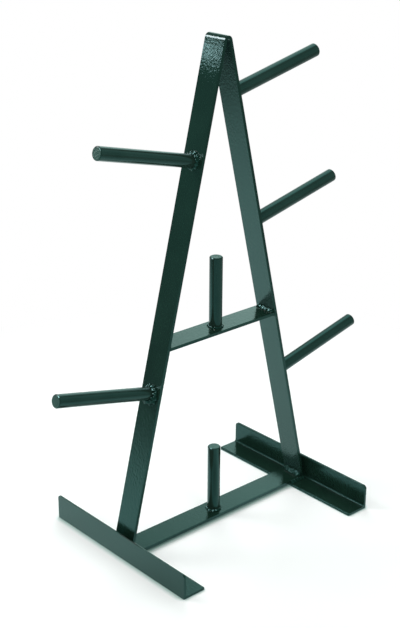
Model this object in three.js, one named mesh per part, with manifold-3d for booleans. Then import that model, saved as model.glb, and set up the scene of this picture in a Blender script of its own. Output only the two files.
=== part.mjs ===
// Plate tree: a welded A-frame rack that keeps weight plates on seven round pegs.
// The A-frame is one flat bar, bent at the top. Two flat crossbars tie its legs together, and
// the lower one lies across two angle-iron feet. Five pegs stand square out of the legs, two
// stand upright on the crossbars, and weld beads hold every joint.
//
// Millimetres. +Z is up, +X is to the right and the feet run along Y, with the front at -Y.
// The origin is on the floor, in the middle of the space that the rack takes up.

import * as THREE from 'three';
import { mergeVertices } from 'three/addons/utils/BufferGeometryUtils.js';
import Module from 'manifold-3d';

const wasm = await Module();
wasm.setup();

// Whole rack
const rackHeight = 959;
const feetSpread = 490;

// Flat bar of the A-frame and the crossbars
const barWidth = 50.8;
const barThickness = 6.35;
const bendInnerRadius = 3.45;

// Angle iron of the feet
const footLength = 381;
const angleWidth = 50.8;
const angleThickness = 4.76;
const angleRootRadius = 4;
const angleToeRadius = 2.5;
const wallCornerRadius = 7;
const flangeCornerRadius = 3;

// Places of the bars: the upper crossbar's top above the floor, and how far the legs stand in
// from the lower crossbar's ends
const midBarTop = 408;
const legInset = 0.6;

// Pegs: each side peg's root is this far below the top of the rack, on the leg's outer face
const pegDiameter = 25.4;
const pegChamfer = 1.5;
const sidePegLength = 219;
const uprightPegLength = 140;
const upperLeftPegDrop = 218;
const lowerLeftPegDrop = 642;
const upperRightPegDrop = 108;
const middleRightPegDrop = 362;
const lowerRightPegDrop = 692;

// Welds: the gap is what the bead and the joined pieces keep to each other
const weldGap = 0.3;
const weldSize = 5.5;
const footWeldSize = 4.8;
const weldRipplePitch = 8;
const weldEndMargin = 2.4;
const weldRippleShare = 0.1;
const weldBulgeShare = 0.45;
const weldEndShare = 0.35;
const weldStepsPerRipple = 4;
const weldFaceSteps = 3;

// Paint: one dark green gloss enamel over everything, a little rougher on the beads
const enamelColour = 0x1d3d31;
const barRoughness = 0.22;
const weldRoughness = 0.32;

// Fineness of round forms, and how far a cut runs past what it cuts
const pegSegments = 48;
const arcSegments = 6;
const cutOverrun = 5;

// Worked out from the sizes above
const unitX = new THREE.Vector3(1, 0, 0);
const unitY = new THREE.Vector3(0, 1, 0);
const unitZ = new THREE.Vector3(0, 0, 1);
const quarterTurn = Math.PI / 2;
const halfTurn = Math.PI;
const feetHalf = feetSpread / 2;
const baseBarTop = angleThickness + barThickness;
const baseBarHalf = feetHalf - angleThickness - angleRootRadius - weldGap;
const legHalfSpread = baseBarHalf - legInset;
const bendOuterRadius = bendInnerRadius + barThickness;
const bendHeight = rackHeight - bendOuterRadius;
const pegRadius = pegDiameter / 2;

// The outer face of a leg runs from its foot up to the bend and touches the bend's outer arc,
// so that arc sets how far the leg leans from upright.
const legRise = bendHeight - baseBarTop;
const legLean = Math.atan2(legHalfSpread, legRise)
  - Math.asin(bendOuterRadius / Math.hypot(legHalfSpread, legRise));

// Where a line that runs along the right leg, that far from the bend's centre, is at a height
function legLineX(distance, height) {
  return (distance - (height - bendHeight) * Math.sin(legLean)) / Math.cos(legLean);
}

// A painted piece, and the two kinds of it: steel stock and weld beads
function paintedPiece(name, geometry, roughness) {
  const paint = new THREE.MeshStandardMaterial({ color: enamelColour, roughness, metalness: 0 });
  const piece = new THREE.Mesh(geometry, paint);
  piece.name = name;
  return piece;
}

function barPiece(name, geometry) {
  return paintedPiece(name, geometry, barRoughness);
}

function weldPiece(name, geometry) {
  return paintedPiece(name, geometry, weldRoughness);
}

// Solids for cuts
function toSolid(geometry) {
  const bare = geometry.clone();
  bare.deleteAttribute('normal');
  bare.deleteAttribute('uv');
  const merged = mergeVertices(bare);
  return new wasm.Manifold(new wasm.Mesh({
    numProp: 3,
    vertProperties: merged.attributes.position.array,
    triVerts: Uint32Array.from(merged.index.array),
  }));
}

function toGeometry(solid) {
  const mesh = solid.getMesh();
  const geometry = new THREE.BufferGeometry();
  geometry.setAttribute('position', new THREE.BufferAttribute(mesh.vertProperties, 3));
  geometry.setIndex(new THREE.BufferAttribute(mesh.triVerts, 1));
  geometry.computeVertexNormals();
  return geometry;
}

// A closed outline through corners that each are [x, y], or [x, y, radius] where they are round
function roundedShape(corners) {
  const shape = new THREE.Shape();
  corners.forEach(([x, y, radius = 0], index) => {
    const corner = new THREE.Vector2(x, y);
    const before = new THREE.Vector2(...corners.at(index - 1)).sub(corner).normalize();
    const after = new THREE.Vector2(...corners.at((index + 1) % corners.length)).sub(corner).normalize();
    const halfAngle = Math.acos(before.dot(after)) / 2;
    const reach = radius / Math.tan(halfAngle);
    const start = corner.clone().addScaledVector(before, reach);
    if (index === 0) {
      shape.moveTo(start.x, start.y);
    } else {
      shape.lineTo(start.x, start.y);
    }
    if (radius > 0) {
      const end = corner.clone().addScaledVector(after, reach);
      const centre = before.clone().add(after).setLength(radius / Math.sin(halfAngle)).add(corner);
      const startAngle = start.sub(centre).angle();
      const endAngle = end.sub(centre).angle();
      const turnsRight = before.cross(after) > 0;
      shape.absarc(centre.x, centre.y, radius, startAngle, endAngle, turnsRight);
    }
  });
  shape.closePath();
  return shape;
}

// An outline in X and Z, run along Y and centred on it
function runAlongY(shape, length) {
  const geometry = new THREE.ExtrudeGeometry(shape, {
    depth: length,
    bevelEnabled: false,
    curveSegments: arcSegments,
  });
  geometry.translate(0, 0, -length / 2);
  geometry.applyMatrix4(new THREE.Matrix4().makeBasis(unitX, unitZ, unitY.clone().negate()));
  return geometry;
}

// An outline in Y and Z, run along X from one place to the other
function runAlongX(shape, from, to) {
  const geometry = new THREE.ExtrudeGeometry(shape, {
    depth: to - from,
    bevelEnabled: false,
    curveSegments: arcSegments,
  });
  geometry.translate(0, 0, from);
  geometry.applyMatrix4(new THREE.Matrix4().makeBasis(unitY, unitZ, unitX));
  return geometry;
}

// An outline in X and Y, run up Z from one height to the other
function runAlongZ(shape, from, to) {
  const geometry = new THREE.ExtrudeGeometry(shape, {
    depth: to - from,
    bevelEnabled: false,
    curveSegments: arcSegments,
  });
  geometry.translate(0, 0, from);
  return geometry;
}

// A-frame: up the right leg's outer face, over the bend and down the left leg, then back inside
function aFrame() {
  const outerFoot = legHalfSpread;
  const innerFoot = legLineX(bendInnerRadius, baseBarTop);
  const shape = new THREE.Shape();
  shape.moveTo(innerFoot, baseBarTop);
  shape.lineTo(outerFoot, baseBarTop);
  shape.absarc(0, bendHeight, bendOuterRadius, legLean, halfTurn - legLean, false);
  shape.lineTo(-outerFoot, baseBarTop);
  shape.lineTo(-innerFoot, baseBarTop);
  shape.absarc(0, bendHeight, bendInnerRadius, halfTurn - legLean, legLean, true);
  shape.closePath();
  return barPiece('a_frame', runAlongY(shape, barWidth));
}

// Upper crossbar: its ends are cut to the lean of the legs and stop a gap short of them
function midCrossbar() {
  const bottom = midBarTop - barThickness;
  const topHalf = legLineX(bendInnerRadius - weldGap, midBarTop);
  const bottomHalf = legLineX(bendInnerRadius - weldGap, bottom);
  const shape = roundedShape([
    [-bottomHalf, bottom],
    [bottomHalf, bottom],
    [topHalf, midBarTop],
    [-topHalf, midBarTop],
  ]);
  return barPiece('mid_crossbar', runAlongY(shape, barWidth));
}

// Lower crossbar: it lies on both feet, its ends just clear of the round roots of the angles
function baseCrossbar() {
  const shape = roundedShape([
    [-baseBarHalf, angleThickness],
    [baseBarHalf, angleThickness],
    [baseBarHalf, baseBarTop],
    [-baseBarHalf, baseBarTop],
  ]);
  return barPiece('base_crossbar', runAlongY(shape, barWidth));
}

// Right foot: angle iron with its wall outside and its flange on the floor, pointing in. Both
// ends of the wall have round top corners, and both ends of the flange a round inner corner.
function footGeometry() {
  const flangeEnd = feetHalf - angleWidth;
  const wallInside = feetHalf - angleThickness;
  const profile = roundedShape([
    [flangeEnd, 0],
    [feetHalf, 0],
    [feetHalf, angleWidth],
    [wallInside, angleWidth, angleToeRadius],
    [wallInside, angleThickness, angleRootRadius],
    [flangeEnd, angleThickness, angleToeRadius],
  ]);
  const footHalf = footLength / 2;
  const wallOutline = roundedShape([
    [-footHalf, -cutOverrun],
    [footHalf, -cutOverrun],
    [footHalf, angleWidth, wallCornerRadius],
    [-footHalf, angleWidth, wallCornerRadius],
  ]);
  const flangeOutline = roundedShape([
    [flangeEnd, -footHalf, flangeCornerRadius],
    [feetHalf + cutOverrun, -footHalf],
    [feetHalf + cutOverrun, footHalf],
    [flangeEnd, footHalf, flangeCornerRadius],
  ]);
  const wallBlank = runAlongX(wallOutline, flangeEnd - cutOverrun, feetHalf + cutOverrun);
  const flangeBlank = runAlongZ(flangeOutline, -cutOverrun, angleWidth + cutOverrun);
  const cut = toSolid(runAlongY(profile, footLength + cutOverrun))
    .intersect(toSolid(wallBlank))
    .intersect(toSolid(flangeBlank));
  return toGeometry(cut);
}

// Peg: round bar with a chamfered end, standing up along Z from just above what it is welded to
function pegGeometry(length) {
  const profile = [
    new THREE.Vector2(0, weldGap),
    new THREE.Vector2(pegRadius, weldGap),
    new THREE.Vector2(pegRadius, length - pegChamfer),
    new THREE.Vector2(pegRadius - pegChamfer, length),
    new THREE.Vector2(0, length),
  ];
  const geometry = new THREE.LatheGeometry(profile, pegSegments);
  geometry.rotateX(quarterTurn);
  return geometry;
}

// Section of a bead in the corner of two faces: the corner is at zero, one face runs along the
// first direction and the other is the corner's angle round from it. The bead keeps the gap to
// both faces, and its own face bulges between the straight chord and a full arc.
function weldSection(size, cornerAngle) {
  const halfAngle = cornerAngle / 2;
  const corner = new THREE.Vector2(1, 0).rotateAround(new THREE.Vector2(), halfAngle)
    .setLength(weldGap / Math.sin(halfAngle));
  const points = [corner];
  for (let step = 0; step <= weldFaceSteps; step += 1) {
    const angle = cornerAngle * step / weldFaceSteps;
    const chord = Math.cos(halfAngle) / Math.cos(angle - halfAngle);
    const reach = size * THREE.MathUtils.lerp(chord, 1, weldBulgeShare);
    points.push(new THREE.Vector2(Math.cos(angle), Math.sin(angle)).multiplyScalar(reach).add(corner));
  }
  return points;
}

// A skin over rings of points. Rings that don't close on themselves get flat ends.
function skin(rings, closed) {
  const ringSize = rings[0].length;
  const indices = [];
  const spans = closed ? rings.length : rings.length - 1;
  for (let ring = 0; ring < spans; ring += 1) {
    const here = ring * ringSize;
    const next = ((ring + 1) % rings.length) * ringSize;
    for (let point = 0; point < ringSize; point += 1) {
      const beside = (point + 1) % ringSize;
      indices.push(here + point, next + beside, here + beside);
      indices.push(here + point, next + point, next + beside);
    }
  }
  if (!closed) {
    const last = (rings.length - 1) * ringSize;
    for (let point = 1; point < ringSize - 1; point += 1) {
      indices.push(0, point, point + 1);
      indices.push(last, last + point + 1, last + point);
    }
  }
  const geometry = new THREE.BufferGeometry();
  geometry.setFromPoints(rings.flat());
  geometry.setIndex(indices);
  geometry.computeVertexNormals();
  return geometry;
}

// How far a bead swells: least where a ripple starts and ends, and most halfway
function ripple(phase) {
  return 1 - weldRippleShare * Math.cos(phase * 2 * Math.PI);
}

// Straight bead along Y, centred, in a corner between +X and the corner's angle up from it. It
// swells with each ripple and falls away at both ends.
function beadGeometry(size, length, cornerAngle) {
  const ripples = Math.max(1, Math.round(length / weldRipplePitch));
  const steps = ripples * weldStepsPerRipple;
  const rings = [];
  for (let step = 0; step <= steps; step += 1) {
    const along = step / steps;
    const fromEnd = Math.min(along, 1 - along) * length;
    const rise = Math.min(1, fromEnd / size);
    const roundEnd = Math.sqrt(1 - (1 - rise) ** 2);
    const swell = THREE.MathUtils.lerp(weldEndShare, 1, roundEnd) * ripple(along * ripples);
    const y = along * length - length / 2;
    rings.push(weldSection(size * swell, cornerAngle).map((point) => new THREE.Vector3(point.x, y, point.y)));
  }
  return skin(rings, false);
}

// Bead all round the root of a peg that stands up along Z
function ringBeadGeometry() {
  const ripples = Math.round(Math.PI * (pegDiameter + weldSize) / weldRipplePitch);
  const steps = ripples * weldStepsPerRipple;
  const rings = [];
  for (let step = 0; step < steps; step += 1) {
    const turn = step / steps;
    const section = weldSection(weldSize * ripple(turn * ripples), quarterTurn);
    rings.push(section.map((point) => new THREE.Vector3(pegRadius + point.x, 0, point.y)
      .applyAxisAngle(unitZ, turn * 2 * Math.PI)));
  }
  return skin(rings, true);
}

// A peg and the bead round its root, standing on a place and leaned over towards +X
function weldedPeg(name, length, x, z, lean) {
  const seat = new THREE.Group();
  seat.position.set(x, 0, z);
  seat.rotation.y = lean;
  seat.add(
    barPiece(`${name}_peg`, pegGeometry(length)),
    weldPiece(`${name}_peg_weld`, ringBeadGeometry()),
  );
  return seat;
}

function uprightPeg(name, barTop) {
  return weldedPeg(name, uprightPegLength, 0, barTop, 0);
}

// A side peg stands square out of the right leg's outer face
function sidePeg(name, drop) {
  const height = rackHeight - drop;
  return weldedPeg(name, sidePegLength, legLineX(bendOuterRadius, height), height, quarterTurn - legLean);
}

// A bead that crosses the bar's width in a corner. Its two faces leave the corner at angles
// that are taken round from +X towards +Z.
function crossBead(name, x, z, fromAngle, toAngle) {
  const length = barWidth - 2 * weldEndMargin;
  const bead = weldPiece(name, beadGeometry(weldSize, length, toAngle - fromAngle));
  bead.position.set(x, 0, z);
  bead.rotation.y = -fromAngle;
  return bead;
}

// Beads on the right leg: inside its foot, and above and below the upper crossbar's end
function legBeads(side) {
  const upLeg = quarterTurn + legLean;
  const downLeg = upLeg + halfTurn;
  const midBarBottom = midBarTop - barThickness;
  const footX = legLineX(bendInnerRadius, baseBarTop);
  const topX = legLineX(bendInnerRadius, midBarTop);
  const bottomX = legLineX(bendInnerRadius, midBarBottom);
  return [
    crossBead(`${side}_leg_weld`, footX, baseBarTop, upLeg, halfTurn),
    crossBead(`mid_crossbar_${side}_top_weld`, topX, midBarTop, upLeg, halfTurn),
    crossBead(`mid_crossbar_${side}_under_weld`, bottomX, midBarBottom, halfTurn, downLeg),
  ];
}

// Beads on the right foot: one along each edge of the lower crossbar, on the foot's flange.
// The bead's own length lies along X, so it is turned a quarter about Z.
function footBead(name, facing) {
  const inner = feetHalf - angleWidth + angleToeRadius;
  const outer = baseBarHalf;
  const bead = weldPiece(name, beadGeometry(footWeldSize, outer - inner, quarterTurn));
  bead.position.set((inner + outer) / 2, facing * barWidth / 2, angleThickness);
  bead.rotation.z = facing * quarterTurn;
  return bead;
}

// One side of the rack, built as the right side. The left side is the same, turned half round,
// which also swaps its front and its rear.
function rackSide(side, pegDrops) {
  const turned = side === 'left';
  const group = new THREE.Group();
  group.rotation.z = turned ? halfTurn : 0;
  group.add(barPiece(`${side}_foot`, footGeometry()));
  group.add(footBead(`${side}_foot_front_weld`, turned ? 1 : -1));
  group.add(footBead(`${side}_foot_rear_weld`, turned ? -1 : 1));
  group.add(...legBeads(side));
  for (const [level, drop] of Object.entries(pegDrops)) {
    group.add(sidePeg(`${level}_${side}`, drop));
  }
  return group;
}

// The rack. Its pegs reach further to the right than to the left, so it is moved over by half
// the difference, and the origin ends up in the middle.
const plateTree = new THREE.Group();
plateTree.name = 'plate_tree';
plateTree.add(aFrame(), midCrossbar(), baseCrossbar());
plateTree.add(rackSide('left', { upper: upperLeftPegDrop, lower: lowerLeftPegDrop }));
plateTree.add(rackSide('right', {
  upper: upperRightPegDrop,
  middle: middleRightPegDrop,
  lower: lowerRightPegDrop,
}));
plateTree.add(uprightPeg('mid_upright', midBarTop), uprightPeg('base_upright', baseBarTop));
plateTree.position.x = -new THREE.Box3().setFromObject(plateTree, true).getCenter(new THREE.Vector3()).x;

export default plateTree;
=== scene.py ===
import math

import bmesh
import bpy
import numpy as np
from mathutils import Matrix, Vector, noise


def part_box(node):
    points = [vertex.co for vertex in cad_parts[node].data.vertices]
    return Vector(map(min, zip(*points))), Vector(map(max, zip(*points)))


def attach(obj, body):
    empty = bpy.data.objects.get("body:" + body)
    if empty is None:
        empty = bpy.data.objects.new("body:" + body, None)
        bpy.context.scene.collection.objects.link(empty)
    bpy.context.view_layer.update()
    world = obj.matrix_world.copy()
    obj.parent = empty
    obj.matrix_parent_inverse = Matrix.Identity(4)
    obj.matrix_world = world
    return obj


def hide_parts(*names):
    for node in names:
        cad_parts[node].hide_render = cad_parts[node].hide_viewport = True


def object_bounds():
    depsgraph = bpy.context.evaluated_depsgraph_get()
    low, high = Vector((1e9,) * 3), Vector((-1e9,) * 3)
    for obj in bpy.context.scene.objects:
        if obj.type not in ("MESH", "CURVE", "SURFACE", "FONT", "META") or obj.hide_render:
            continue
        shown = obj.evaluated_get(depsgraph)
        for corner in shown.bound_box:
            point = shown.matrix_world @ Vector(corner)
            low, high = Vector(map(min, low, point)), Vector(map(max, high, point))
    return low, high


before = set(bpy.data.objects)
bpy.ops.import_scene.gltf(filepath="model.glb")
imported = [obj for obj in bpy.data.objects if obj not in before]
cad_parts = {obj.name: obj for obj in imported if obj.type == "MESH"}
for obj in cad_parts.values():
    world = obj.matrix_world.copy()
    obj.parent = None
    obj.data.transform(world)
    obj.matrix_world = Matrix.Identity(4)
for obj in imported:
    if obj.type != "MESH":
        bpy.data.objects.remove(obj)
cad_low, cad_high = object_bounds()

# Lengths are in metres, in the frame of the rack.
MM = 0.001

# The photograph's width in pixels, and the camera that was fitted to it
PHOTO_WIDTH = 400
CAMERA_PLACE = Vector((-1.5407, -1.6663, 1.35))
CAMERA_YAW = math.radians(41.9)
CAMERA_DIP = math.radians(22.06)
CAMERA_ROLL = math.radians(0.36)
CAMERA_FOCAL_PIXELS = 1290.2

# Enamel: the greens under the gloss, the tint of what the gloss shows face on, and its roughness
BAR_GREEN = (0.0085, 0.027, 0.018, 1)
BAR_DARK_GREEN = (0.0065, 0.021, 0.0138, 1)
ROD_GREEN = (0.0155, 0.034, 0.026, 1)
ROD_DARK_GREEN = (0.0115, 0.0265, 0.0195, 1)
# The sawn ends' lighter greens are a painted highlight; their saw marks are in the roughness and
# bumps
SAWN_HIGHLIGHT_GREEN = (0.042, 0.092, 0.075, 1)
SAWN_HIGHLIGHT_DARK_GREEN = (0.026, 0.062, 0.05, 1)
ENAMEL_GLOSS_TINT = (0.22, 1.0, 1.0, 1)
ENAMEL_IOR = 1.5
ENAMEL_ROUGHNESS = 0.07
WELD_ROUGHNESS = 0.09
SAWN_ROUGHNESS = 0.4

# Clouds in the enamel's colour: noise scale, detail, and the noise from dark green to green
CLOUD_SCALE = 14
CLOUD_DETAIL = 4
CLOUD_DARK = 0.35
CLOUD_LIGHT = 0.65

# Haze in the enamel's gloss: noise scale, detail and range, and what it does to the roughness
HAZE_SCALE = 90
HAZE_DETAIL = 3
HAZE_LOW = 0.3
HAZE_HIGH = 0.7
HAZE_SHARPEST = 0.85
HAZE_DULLEST = 1.2

# Fine orange peel and wider dips in the enamel's surface: noise scale and height
SURFACE_DETAIL = 2
BAR_PEEL = (280, 0.4 * MM)
BAR_DIPS = (60, 0.05 * MM)
ROD_PEEL = (300, 0.03 * MM)
ROD_DIPS = (90, 0.08 * MM)
WELD_PEEL = (500, 0.15 * MM)
WELD_DIPS = (200, 0.3 * MM)
SAWN_PEEL = (200, 0.5 * MM)
SAWN_DIPS = (100, 0.5 * MM)

# Rounding of the stock's edges, after its doubled corners are merged
EDGE_RADIUS = 0.6 * MM
EDGE_SEGMENTS = 3
EDGE_ANGLE = math.radians(40)
MERGE_DISTANCE = 0.01 * MM

# How squarely a peg's face looks along the peg when it is a sawn end
SAWN_END_ALIGNMENT = 0.99

# Weld beads: how far they keep off the steel, and their sizes
WELD_GAP = 0.3 * MM
WELD_SIZE = 5.5 * MM
FOOT_WELD_SIZE = 5.2 * MM
UPRIGHT_WELD_SIZE = 3 * MM
LEG_WELD_SIZE = 8 * MM

# Size of the ring round a peg's root, and how much heavier it is on the low side
RING_WELDS = {
    "upper_left_peg": (6.2 * MM, 0.6),
    "lower_left_peg": (5.5 * MM, 1.7),
    "mid_upright_peg": (UPRIGHT_WELD_SIZE, 1),
    "base_upright_peg": (UPRIGHT_WELD_SIZE, 1),
}
OTHER_RING_WELD = (WELD_SIZE, 1)

# How a bead's face bulges, how much a ripple swells it, and how far its small bumps stand
STRAIGHT_FACE = (0.35, 0.32, 0.28)
RING_FACE = (0.6, 0.42, 0.36)
FACE_STEPS = 14

# Ripples along a bead: length, shape, how they differ, and the bead's slow change of size
RIPPLE_LENGTH = 8 * MM
RIPPLE_STEPS = 16
RIPPLE_ROUNDNESS = 0.6
RIPPLE_MEAN = 0.7
RIPPLE_VARIETY = 0.6
RIPPLE_NOISE_STEP = 1.7
WANDER_SHARE = 0.2
WANDER_PACE = 0.35
WANDER_LAYER = 5

# Small bumps on a bead: width, and how much narrower and lower the finer ones are
BUMP_WIDTH = 4.5 * MM
FINE_BUMP_RATIO = 2.3
FINE_BUMP_SHARE = 0.5

# The ends of a straight bead: how far in they grow, in bead sizes, and the size that they start at
END_LENGTH = 0.8
END_SIZE = 0.3

# Seeds of the beads
RING_SEED = 10
CORNER_SEED = 30
CORNER_SEED_STEP = 7
FOOT_SEED = 50
FOOT_SEED_STEP = 3

# Paper on the floor, as the camera and diffuse light meet it
WHITE = (1, 1, 1, 1)
FLOOR_SIZE = 14
PAPER_COLOUR = (0.88, 0.925, 0.91, 1)
PAPER_LIFT = 0.155
SHADOW_NEAR = 0.5
SHADOW_FAR = 1.1

# Painted contact shade on the paper right beside the steel, darker and greener, and how open its
# sky is where this is full and where it ends
CONTACT_SHADE_COLOUR = (0.4, 0.62, 0.56, 1)
CONTACT_REACH = 18 * MM
CONTACT_CLOSED = 0.45
CONTACT_OPEN = 0.97

# Paper as reflections show it: a strip with a pool of light, shaded before the base crossbar
MIRRORED_PAPER_COLOUR = (0.25, 0.25, 0.25, 1)
PAPER_TINT = (0.88, 1.0, 0.96, 1)
STRIP_HALF_WIDTH = 1.45
STRIP_FADE = 0.22
STRIP_EDGE_SHARE = 0.1
POOL_PLACE = (-0.2, 0.5, 0)
POOL_RADIUS = 1.7
POOL_RADIANCE = 1.14
FAR_RADIANCE = 0.24
SHADE_PLACE = (-0.1, -0.15, 0)
SHADE_RADIUS = 0.26
SHADE_SHARE = 0.15

# Room, as diffuse light and reflections meet it
DIFFUSE_LEVEL = 0.68
ROOM_RADIANCE = 0.27
ROOM_TINT = (0.77, 1.0, 0.93, 1)
# Azimuth, elevation, half angle at full strength, half angle where it ends, strength
ROOM_PATCHES = (
    (54, 18, 6, 28, 1.6),
    (58, 55, 12, 28, 1.5),
    (112, 32, 8, 22, 0.55),
    (140, 20, 16, 44, 0.4),
)

# Bright cards, which only reflections show, and lamps, which reflections don't show
CARD_FADE_SHARE = 0.05
CARD_COLOUR = (1.9, 1.0, 1.03, 1)
APEX_CARD_COLOUR = (1.4, 1.0, 1.03, 1)
SIDE_CARD_COLOUR = (2.0, 1.0, 1.0, 1)
KEY_CARD = dict(azimuth=-38, height=1.315, distance=0.75, width=0.26, rise=0.35, radiance=17)
APEX_CARD = dict(azimuth=-43.7, height=0.9705, distance=0.324, width=0.07, rise=0.02, radiance=9)
CORNER_CARD = dict(azimuth=-28, height=1.6, distance=1.6, width=0.4, rise=0.4, radiance=7)
SIDE_CARD = dict(azimuth=-70, height=1.7, distance=1.2, width=0.9, rise=0.8, radiance=20)
KEY_LAMP = dict(azimuth=-38, height=1.7, distance=1.6, size=0.7, radiance=8)
BACK_LAMP = dict(azimuth=35, height=1.7, distance=1.9, size=1.2, radiance=4)
FRONT_LAMP = dict(azimuth=-170, height=1.9, distance=1.6, size=0.8, radiance=4)


# Camera

def add_camera():
    camera = bpy.data.cameras.new("camera")
    camera.sensor_fit = "HORIZONTAL"
    camera.lens = camera.sensor_width * CAMERA_FOCAL_PIXELS / PHOTO_WIDTH
    viewer = bpy.data.objects.new("camera", camera)
    turn = Matrix.Rotation(-CAMERA_YAW, 4, "Z")
    tilt = Matrix.Rotation(math.pi / 2 - CAMERA_DIP, 4, "X")
    roll = Matrix.Rotation(CAMERA_ROLL, 4, "Z")
    viewer.matrix_world = Matrix.Translation(CAMERA_PLACE) @ turn @ tilt @ roll
    bpy.context.scene.collection.objects.link(viewer)
    bpy.context.scene.camera = viewer


# Node helpers

def new_material(name):
    material = bpy.data.materials.new(name)
    material.use_nodes = True
    material.node_tree.nodes.clear()
    return material


def add_node(tree, kind, **settings):
    node = tree.nodes.new(kind)
    for key, value in settings.items():
        setattr(node, key, value)
    return node


def add_output(tree, shader, kind="ShaderNodeOutputMaterial"):
    output = add_node(tree, kind)
    tree.links.new(shader, output.inputs["Surface"])


def math_node(tree, operation, first, second=None):
    node = add_node(tree, "ShaderNodeMath", operation=operation)
    for socket, value in zip(node.inputs, (first, second)):
        if isinstance(value, (int, float)):
            socket.default_value = value
        elif value is not None:
            tree.links.new(value, socket)
    return node.outputs["Value"]


def vector_node(tree, operation, first, second=None):
    node = add_node(tree, "ShaderNodeVectorMath", operation=operation)
    tree.links.new(first, node.inputs[0])
    if second is not None:
        node.inputs[1].default_value = second
    return node.outputs["Value"]


def noise_node(tree, coordinates, scale, detail):
    node = add_node(tree, "ShaderNodeTexNoise")
    node.inputs["Scale"].default_value = scale
    node.inputs["Detail"].default_value = detail
    tree.links.new(coordinates, node.inputs["Vector"])
    return node.outputs["Fac"]


def bump_node(tree, height, distance):
    node = add_node(tree, "ShaderNodeBump")
    node.inputs["Distance"].default_value = distance
    tree.links.new(height, node.inputs["Height"])
    return node


def ramp_node(tree, value, stops):
    node = add_node(tree, "ShaderNodeValToRGB")
    for element, (place, colour) in zip(node.color_ramp.elements, stops):
        element.position = place
        element.color = colour
    tree.links.new(value, node.inputs["Fac"])
    return node.outputs["Color"]


def map_range(tree, value, from_low, from_high, to_low, to_high):
    node = add_node(tree, "ShaderNodeMapRange", interpolation_type="SMOOTHSTEP")
    tree.links.new(value, node.inputs["Value"])
    node.inputs["From Min"].default_value = from_low
    node.inputs["From Max"].default_value = from_high
    node.inputs["To Min"].default_value = to_low
    node.inputs["To Max"].default_value = to_high
    return node.outputs["Result"]


# Dark green gloss enamel: slightly uneven colour and gloss, over fine orange peel and wider dips

def enamel(name, green, dark_green, roughness, peel, dips):
    peel_scale, peel_height = peel
    dip_scale, dip_height = dips
    material = new_material(name)
    tree = material.node_tree
    place = add_node(tree, "ShaderNodeTexCoord").outputs["Object"]
    shader = add_node(tree, "ShaderNodeBsdfPrincipled")
    shader.inputs["IOR"].default_value = ENAMEL_IOR
    shader.inputs["Specular Tint"].default_value = ENAMEL_GLOSS_TINT
    clouds = noise_node(tree, place, CLOUD_SCALE, CLOUD_DETAIL)
    colour = ramp_node(tree, clouds, ((CLOUD_DARK, dark_green), (CLOUD_LIGHT, green)))
    tree.links.new(colour, shader.inputs["Base Color"])
    haze = noise_node(tree, place, HAZE_SCALE, HAZE_DETAIL)
    sharpest = roughness * HAZE_SHARPEST
    dullest = roughness * HAZE_DULLEST
    gloss = map_range(tree, haze, HAZE_LOW, HAZE_HIGH, sharpest, dullest)
    tree.links.new(gloss, shader.inputs["Roughness"])
    fine = bump_node(tree, noise_node(tree, place, peel_scale, SURFACE_DETAIL), peel_height)
    wide = bump_node(tree, noise_node(tree, place, dip_scale, SURFACE_DETAIL), dip_height)
    tree.links.new(wide.outputs["Normal"], fine.inputs["Normal"])
    tree.links.new(fine.outputs["Normal"], shader.inputs["Normal"])
    add_output(tree, shader.outputs["BSDF"])
    return material


# Rounded edges and smooth shading over a CAD node's own mesh

def smooth_faces_group():
    group = bpy.data.node_groups.new("smooth_faces", "GeometryNodeTree")
    group.interface.new_socket("Geometry", in_out="INPUT", socket_type="NodeSocketGeometry")
    group.interface.new_socket("Geometry", in_out="OUTPUT", socket_type="NodeSocketGeometry")
    start = group.nodes.new("NodeGroupInput")
    smooth = group.nodes.new("GeometryNodeSetShadeSmooth")
    end = group.nodes.new("NodeGroupOutput")
    group.links.new(start.outputs["Geometry"], smooth.inputs["Geometry"])
    group.links.new(smooth.outputs["Geometry"], end.inputs["Geometry"])
    return group


def round_edges(node, group):
    merge = node.modifiers.new("merge", "WELD")
    merge.merge_threshold = MERGE_DISTANCE
    bevel = node.modifiers.new("round", "BEVEL")
    bevel.width = EDGE_RADIUS
    bevel.segments = EDGE_SEGMENTS
    bevel.limit_method = "ANGLE"
    bevel.angle_limit = EDGE_ANGLE
    smooth = node.modifiers.new("smooth", "NODES")
    smooth.node_group = group
    node.modifiers.new("flat_faces", "WEIGHTED_NORMAL")


# Materials on things

def give_material(thing, material):
    thing.data.materials.clear()
    thing.data.materials.append(material)


def paint_sawn_ends(peg, axis, material):
    """A peg's flat ends keep the marks of the saw under the paint, and a lighter green on them is a
    painted highlight.
    """
    peg.data.materials.append(material)
    for face in peg.data.polygons:
        if abs(face.normal.dot(axis)) > SAWN_END_ALIGNMENT:
            face.material_index = 1


# Weld beads: a section in the corner of two faces, carried along the joint

def weld_section(size, corner_angle, bulge):
    """X lies along one face, Y stands off it, and the corner of the two faces is at zero."""
    corner = Vector((math.cos(corner_angle / 2), math.sin(corner_angle / 2)))
    corner *= WELD_GAP / math.sin(corner_angle / 2)
    points = [corner]
    for step in range(FACE_STEPS + 1):
        angle = corner_angle * step / FACE_STEPS
        chord = math.cos(corner_angle / 2) / math.cos(angle - corner_angle / 2)
        reach = size * (chord + (1 - chord) * bulge)
        points.append(corner + Vector((math.cos(angle), math.sin(angle))) * reach)
    return points


def ripple_swell(along, lump_share, seed):
    """How the bead swells along the joint: one lump a ripple, each a little different."""
    lump = math.floor(along)
    within = along - lump
    variety = noise.noise(Vector((lump * RIPPLE_NOISE_STEP, seed, 0)))
    strength = lump_share * (1 + RIPPLE_VARIETY * variety)
    wander = WANDER_SHARE * noise.noise(Vector((along * WANDER_PACE, seed, WANDER_LAYER)))
    return 1 + wander + strength * (math.sin(math.pi * within) ** RIPPLE_ROUNDNESS - RIPPLE_MEAN)


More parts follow.
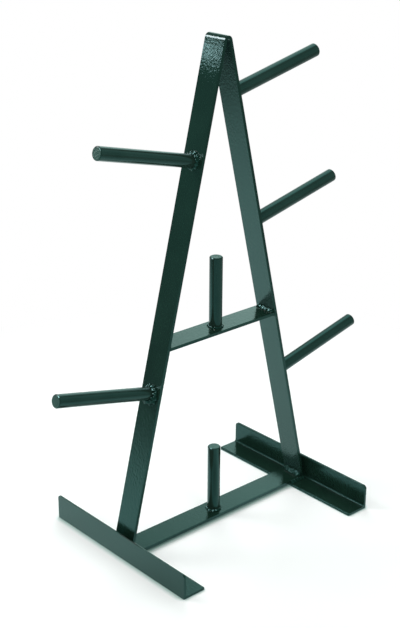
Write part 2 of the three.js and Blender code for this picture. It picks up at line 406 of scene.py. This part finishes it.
def grain(points, bump_share, seed):
    """Small bumps over the bead's face; the corner point stays."""
    corner = points[0]
    moved = [corner]
    shift = Vector((seed, 0, 0))
    for point in points[1:]:
        coarse = noise.noise(point / BUMP_WIDTH + shift)
        fine = noise.noise(point / BUMP_WIDTH * FINE_BUMP_RATIO - shift)
        bump = bump_share * (coarse + FINE_BUMP_SHARE * fine)
        moved.append(corner + (point - corner) * (1 + bump))
    return moved


def skin_rings(name, rings, closed):
    mesh = bpy.data.meshes.new(name)
    work = bmesh.new()
    rows = [[work.verts.new(point) for point in ring] for ring in rings]
    spans = len(rows) if closed else len(rows) - 1
    size = len(rows[0])
    for row in range(spans):
        here = rows[row]
        after = rows[(row + 1) % len(rows)]
        for point in range(size):
            beside = (point + 1) % size
            work.faces.new((here[point], here[beside], after[beside], after[point]))
    if not closed:
        work.faces.new(rows[0][::-1])
        work.faces.new(rows[-1])
    bmesh.ops.recalc_face_normals(work, faces=work.faces)
    for face in work.faces:
        face.smooth = True
    work.to_mesh(mesh)
    work.free()
    thing = bpy.data.objects.new(name, mesh)
    bpy.context.scene.collection.objects.link(thing)
    return thing


def straight_bead(name, start, end, first, second, size, seed):
    """A bead from start to end, in the corner of the faces that lie along first and second."""
    run = end - start
    length = run.length
    across = first.normalized()
    corner_angle = first.angle(second)
    off = (second - across * second.dot(across)).normalized()
    bulge, lump_share, bump_share = STRAIGHT_FACE
    ripples = length / RIPPLE_LENGTH
    steps = round(ripples * RIPPLE_STEPS)
    rings = []
    for step in range(steps + 1):
        along = step / steps
        from_end = min(along, 1 - along) * length
        rise = min(1, from_end / (size * END_LENGTH))
        taper = END_SIZE + (1 - END_SIZE) * math.sqrt(1 - (1 - rise) ** 2)
        swell = ripple_swell(along * ripples, lump_share, seed) * taper
        centre = start + run * along
        section = weld_section(size * swell, corner_angle, bulge)
        ring = [centre + across * point.x + off * point.y for point in section]
        rings.append(grain(ring, bump_share, seed))
    return skin_rings(name, rings, False)


def ring_bead(name, root, axis, radius, size, low_side_gain, seed):
    """A bead round a peg that leaves root along axis, heavier or lighter on its low side."""
    side = Vector((0, 1, 0))
    top = axis.cross(side)
    if top.z < 0:
        top = -top
    bulge, lump_share, bump_share = RING_FACE
    ripples = round(2 * math.pi * (radius + size / 2) / RIPPLE_LENGTH)
    steps = ripples * RIPPLE_STEPS
    rings = []
    for step in range(steps):
        turn = step / steps
        angle = turn * 2 * math.pi
        outwards = top * math.cos(angle) + side * math.sin(angle)
        low_share = (1 - math.cos(angle)) / 2
        weight = 1 + (low_side_gain - 1) * low_share
        swell = ripple_swell(turn * ripples, lump_share, seed) * weight
        section = weld_section(size * swell, math.pi / 2, bulge)
        ring = [root + outwards * (radius + point.x) + axis * point.y for point in section]
        rings.append(grain(ring, bump_share, seed))
    return skin_rings(name, rings, True)


def peg_line(node):
    """The middle of a peg's root, and the direction that it leaves in."""
    points = np.array([vertex.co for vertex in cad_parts[node].data.vertices])
    middle = points.mean(axis=0)
    axis = np.linalg.svd(points - middle)[2][0]
    if axis[2] < 0:
        axis = -axis
    root = middle + axis * ((points - middle) @ axis).min()
    return Vector(root), Vector(axis)


def add_ring_beads():
    low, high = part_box("mid_upright_peg")
    radius = (high.x - low.x) / 2
    pegs = [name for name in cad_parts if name.endswith("_peg")]
    beads = []
    for index, peg in enumerate(sorted(pegs)):
        root, axis = peg_line(peg)
        size, low_side_gain = RING_WELDS.get(peg, OTHER_RING_WELD)
        start = root - axis * WELD_GAP
        seed = RING_SEED + index
        bead = ring_bead(f"{peg}_bead", start, axis, radius, size, low_side_gain, seed)
        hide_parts(f"{peg}_weld")
        beads.append(bead)
    return beads


def add_leg_beads(side, sign):
    """The beads between a leg and the crossbars; sign is -1 on the left and 1 on the right."""
    frame_low, frame_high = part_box("a_frame")
    middle = (frame_low.x + frame_high.x) / 2
    bar_low, bar_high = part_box("mid_crossbar")
    base_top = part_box("base_crossbar")[1].z
    lean = math.asin(peg_line("upper_right_peg")[1].z)
    up_leg = Vector((-math.sin(lean), 0, math.cos(lean)))
    inwards = Vector((-1, 0, 0))
    mirror = Vector((sign, 1, 1))
    joints = (
        (f"{side}_leg_weld", base_top, up_leg, LEG_WELD_SIZE),
        (f"mid_crossbar_{side}_top_weld", bar_high.z, up_leg, WELD_SIZE),
        (f"mid_crossbar_{side}_under_weld", bar_low.z, -up_leg, WELD_SIZE),
    )
    beads = []
    for index, (node, height, along_leg, size) in enumerate(joints):
        leg_face = bar_high.x - middle + WELD_GAP / math.cos(lean)
        leg_face += (bar_low.z - height) * math.tan(lean)
        low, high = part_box(node)
        start = Vector((middle + sign * leg_face, low.y, height))
        end = Vector((middle + sign * leg_face, high.y, height))
        seed = CORNER_SEED + index + CORNER_SEED_STEP * sign
        first = inwards * mirror
        second = along_leg * mirror
        bead = straight_bead(f"{node}_bead", start, end, first, second, size, seed)
        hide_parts(node)
        beads.append(bead)
    return beads


def add_foot_beads(side, sign):
    """The beads along the base crossbar's edges, on a foot's flange."""
    base_low, base_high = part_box("base_crossbar")
    upwards = Vector((0, 0, 1))
    beads = []
    for end_name, facing, edge in (("front", -1, base_low.y), ("rear", 1, base_high.y)):
        node = f"{side}_foot_{end_name}_weld"
        low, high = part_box(node)
        start = Vector((low.x, edge, base_low.z))
        end = Vector((high.x, edge, base_low.z))
        outwards = Vector((0, facing, 0))
        seed = FOOT_SEED + FOOT_SEED_STEP * sign + facing
        bead = straight_bead(f"{node}_bead", start, end, outwards, upwards, FOOT_WELD_SIZE, seed)
        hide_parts(node)
        beads.append(bead)
    return beads


def add_corner_beads():
    beads = []
    for side, sign in (("left", -1), ("right", 1)):
        beads += add_leg_beads(side, sign)
        beads += add_foot_beads(side, sign)
    return beads


# Studio: white paper on the floor, soft lamps, bright cards for the gloss, and a dim room

def direction(azimuth, elevation):
    """Azimuth 0 is +Y and grows towards +X; both in degrees."""
    side = math.radians(azimuth)
    rise = math.radians(elevation)
    flat = math.cos(rise)
    return Vector((math.sin(side) * flat, math.cos(side) * flat, math.sin(rise)))


def facing_rack(azimuth, height, distance):
    place = direction(azimuth, 0) * distance + Vector((0, 0, height))
    aim = Vector((0, 0, cad_high.z))
    turn = (place - aim).to_track_quat("Z", "Y").to_matrix().to_4x4()
    return Matrix.Translation(place) @ turn


def flat_sheet(name, width, depth, material):
    x = width / 2
    y = depth / 2
    corners = [(-x, -y, 0), (x, -y, 0), (x, y, 0), (-x, y, 0)]
    mesh = bpy.data.meshes.new(name)
    mesh.from_pydata(corners, [], [(0, 1, 2, 3)])
    mesh.materials.append(material)
    sheet = bpy.data.objects.new(name, mesh)
    bpy.context.scene.collection.objects.link(sheet)
    return sheet


def add_shaders(tree, first, second):
    node = add_node(tree, "ShaderNodeAddShader")
    tree.links.new(first, node.inputs[0])
    tree.links.new(second, node.inputs[1])
    return node.outputs["Shader"]


def mix_shaders(tree, share, first, second):
    node = add_node(tree, "ShaderNodeMixShader")
    tree.links.new(share, node.inputs["Fac"])
    tree.links.new(first, node.inputs[1])
    tree.links.new(second, node.inputs[2])
    return node.outputs["Shader"]


def by_ray(tree, seen, mirrored, lit):
    """What the camera sees, also through glass; what gloss mirrors; what diffuse light meets."""
    rays = add_node(tree, "ShaderNodeLightPath").outputs
    through = math_node(tree, "MAXIMUM", rays["Is Camera Ray"], rays["Is Transmission Ray"])
    indirect = mix_shaders(tree, rays["Is Glossy Ray"], lit, mirrored)
    return mix_shaders(tree, through, indirect, seen)


def seen_paper(tree, place):
    """Shaded near the rack, with painted contact shade, darker and greener, right beside the steel,
    and plain white far off.
    """
    # Painted contact shade: where little sky is open, the paper's colour turns darker and greener
    # and its lift fades
    contact = add_node(tree, "ShaderNodeAmbientOcclusion")
    contact.inputs["Distance"].default_value = CONTACT_REACH
    openness = map_range(tree, contact.outputs["AO"], CONTACT_CLOSED, CONTACT_OPEN, 0, 1)
    paper = add_node(tree, "ShaderNodeBsdfDiffuse")
    colour = ramp_node(tree, openness, ((0, CONTACT_SHADE_COLOUR), (1, PAPER_COLOUR)))
    tree.links.new(colour, paper.inputs["Color"])
    lift = add_node(tree, "ShaderNodeEmission")
    tree.links.new(math_node(tree, "MULTIPLY", openness, PAPER_LIFT), lift.inputs["Strength"])
    near = add_shaders(tree, paper.outputs["BSDF"], lift.outputs["Emission"])
    white = add_node(tree, "ShaderNodeEmission")
    far = map_range(tree, vector_node(tree, "LENGTH", place), SHADOW_NEAR, SHADOW_FAR, 0, 1)
    return mix_shaders(tree, far, near, white.outputs["Emission"])


def mirrored_paper(tree, place):
    """A strip that runs away from the camera, with a pool of light and a shade on it."""
    across = direction(math.degrees(CAMERA_YAW) + 90, 0)
    offset = math_node(tree, "ABSOLUTE", vector_node(tree, "DOT_PRODUCT", place, across))
    inner = STRIP_HALF_WIDTH - STRIP_FADE
    outer = STRIP_HALF_WIDTH + STRIP_FADE
    strip = map_range(tree, offset, inner, outer, 1, STRIP_EDGE_SHARE)
    distance = vector_node(tree, "DISTANCE", place, POOL_PLACE)
    pool = map_range(tree, distance, 0, POOL_RADIUS, POOL_RADIANCE, FAR_RADIANCE)
    from_shade = vector_node(tree, "DISTANCE", place, SHADE_PLACE)
    shade = map_range(tree, from_shade, 0, SHADE_RADIUS, SHADE_SHARE, 1)
    lighting = math_node(tree, "MULTIPLY", math_node(tree, "MULTIPLY", strip, pool), shade)
    bright = add_node(tree, "ShaderNodeEmission")
    bright.inputs["Color"].default_value = PAPER_TINT
    tree.links.new(lighting, bright.inputs["Strength"])
    shaded = add_node(tree, "ShaderNodeBsdfDiffuse")
    shaded.inputs["Color"].default_value = MIRRORED_PAPER_COLOUR
    return add_shaders(tree, shaded.outputs["BSDF"], bright.outputs["Emission"])


def add_floor():
    material = new_material("floor")
    tree = material.node_tree
    place = add_node(tree, "ShaderNodeTexCoord").outputs["Object"]
    lit = add_node(tree, "ShaderNodeBsdfDiffuse")
    lit.inputs["Color"].default_value = PAPER_COLOUR
    seen = seen_paper(tree, place)
    mirrored = mirrored_paper(tree, place)
    add_output(tree, by_ray(tree, seen, mirrored, lit.outputs["BSDF"]))
    floor = flat_sheet("floor", FLOOR_SIZE, FLOOR_SIZE, material)


def background(tree, colour):
    node = add_node(tree, "ShaderNodeBackground")
    node.inputs["Color"].default_value = colour
    return node


def room_radiance(tree):
    """What reflections show of the room: dim, with soft light patches round set directions."""
    place = add_node(tree, "ShaderNodeTexCoord").outputs["Generated"]
    total = ROOM_RADIANCE
    for azimuth, elevation, full, faded, radiance in ROOM_PATCHES:
        facing = vector_node(tree, "DOT_PRODUCT", place, direction(azimuth, elevation))
        near = math.cos(math.radians(full))
        far = math.cos(math.radians(faded))
        patch = map_range(tree, facing, far, near, 0, radiance)
        total = math_node(tree, "MAXIMUM", patch, total)
    return total


def add_world():
    world = bpy.data.worlds.new("studio")
    world.use_nodes = True
    tree = world.node_tree
    tree.nodes.clear()
    seen = background(tree, WHITE)
    mirrored = background(tree, ROOM_TINT)
    tree.links.new(room_radiance(tree), mirrored.inputs["Strength"])
    lit = background(tree, WHITE)
    lit.inputs["Strength"].default_value = DIFFUSE_LEVEL
    shaders = [node.outputs["Background"] for node in (seen, mirrored, lit)]
    add_output(tree, by_ray(tree, *shaders), "ShaderNodeOutputWorld")
    bpy.context.scene.world = world


def add_lamp(name, azimuth, height, distance, size, radiance):
    """A square softbox that faces the rack. Reflections don't show it."""
    lamp = bpy.data.lights.new(name, "AREA")
    lamp.shape = "SQUARE"
    lamp.size = size
    lamp.energy = radiance * math.pi * size * size
    holder = bpy.data.objects.new(name, lamp)
    holder.matrix_world = facing_rack(azimuth, height, distance)
    holder.visible_glossy = False
    bpy.context.scene.collection.objects.link(holder)


def add_bright_card(name, colour, azimuth, height, distance, width, rise, radiance):
    """The bright front of a softbox, as reflections show it, with a soft lower edge."""
    material = new_material(name)
    tree = material.node_tree
    place = add_node(tree, "ShaderNodeTexCoord").outputs["Object"]
    split = add_node(tree, "ShaderNodeSeparateXYZ")
    tree.links.new(place, split.inputs["Vector"])
    low_edge = -rise / 2
    full_at = low_edge + rise * CARD_FADE_SHARE
    glow = add_node(tree, "ShaderNodeEmission")
    strength = map_range(tree, split.outputs["Y"], low_edge, full_at, 0, radiance)
    tree.links.new(strength, glow.inputs["Strength"])
    glow.inputs["Color"].default_value = colour
    add_output(tree, glow.outputs["Emission"])
    card = flat_sheet(name, width, rise, material)
    card.matrix_world = facing_rack(azimuth, height, distance)
    card.visible_camera = False
    card.visible_diffuse = False
    card.visible_shadow = False
    card.visible_transmission = False


# The rack: bars and feet, pegs with sawn ends, and weld beads

def dress_steel(bars, rods, sawn_ends):
    smooth_faces = smooth_faces_group()
    for name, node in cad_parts.items():
        if name.endswith("_weld"):
            continue
        if name.endswith("_peg"):
            give_material(node, rods)
            paint_sawn_ends(node, peg_line(name)[1], sawn_ends)
        else:
            give_material(node, bars)
        round_edges(node, smooth_faces)


def add_beads(welds):
    for bead in add_ring_beads() + add_corner_beads():
        give_material(bead, welds)
        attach(bead, "root")


# Put together

add_camera()
bars = enamel("bar_enamel", BAR_GREEN, BAR_DARK_GREEN, ENAMEL_ROUGHNESS, BAR_PEEL, BAR_DIPS)
rods = enamel("rod_enamel", ROD_GREEN, ROD_DARK_GREEN, ENAMEL_ROUGHNESS, ROD_PEEL, ROD_DIPS)
welds = enamel("weld_enamel", BAR_GREEN, BAR_DARK_GREEN, WELD_ROUGHNESS, WELD_PEEL, WELD_DIPS)
sawn_ends = enamel("sawn_enamel", SAWN_HIGHLIGHT_GREEN, SAWN_HIGHLIGHT_DARK_GREEN, SAWN_ROUGHNESS, SAWN_PEEL, SAWN_DIPS)
dress_steel(bars, rods, sawn_ends)
add_beads(welds)

add_floor()
add_world()
add_bright_card("key_card", CARD_COLOUR, **KEY_CARD)
add_bright_card("apex_card", APEX_CARD_COLOUR, **APEX_CARD)
add_bright_card("corner_card", CARD_COLOUR, **CORNER_CARD)
add_bright_card("side_card", SIDE_CARD_COLOUR, **SIDE_CARD)
add_lamp("key_lamp", **KEY_LAMP)
add_lamp("back_lamp", **BACK_LAMP)
add_lamp("front_lamp", **FRONT_LAMP)
bpy.context.scene.view_settings.view_transform = "Standard"
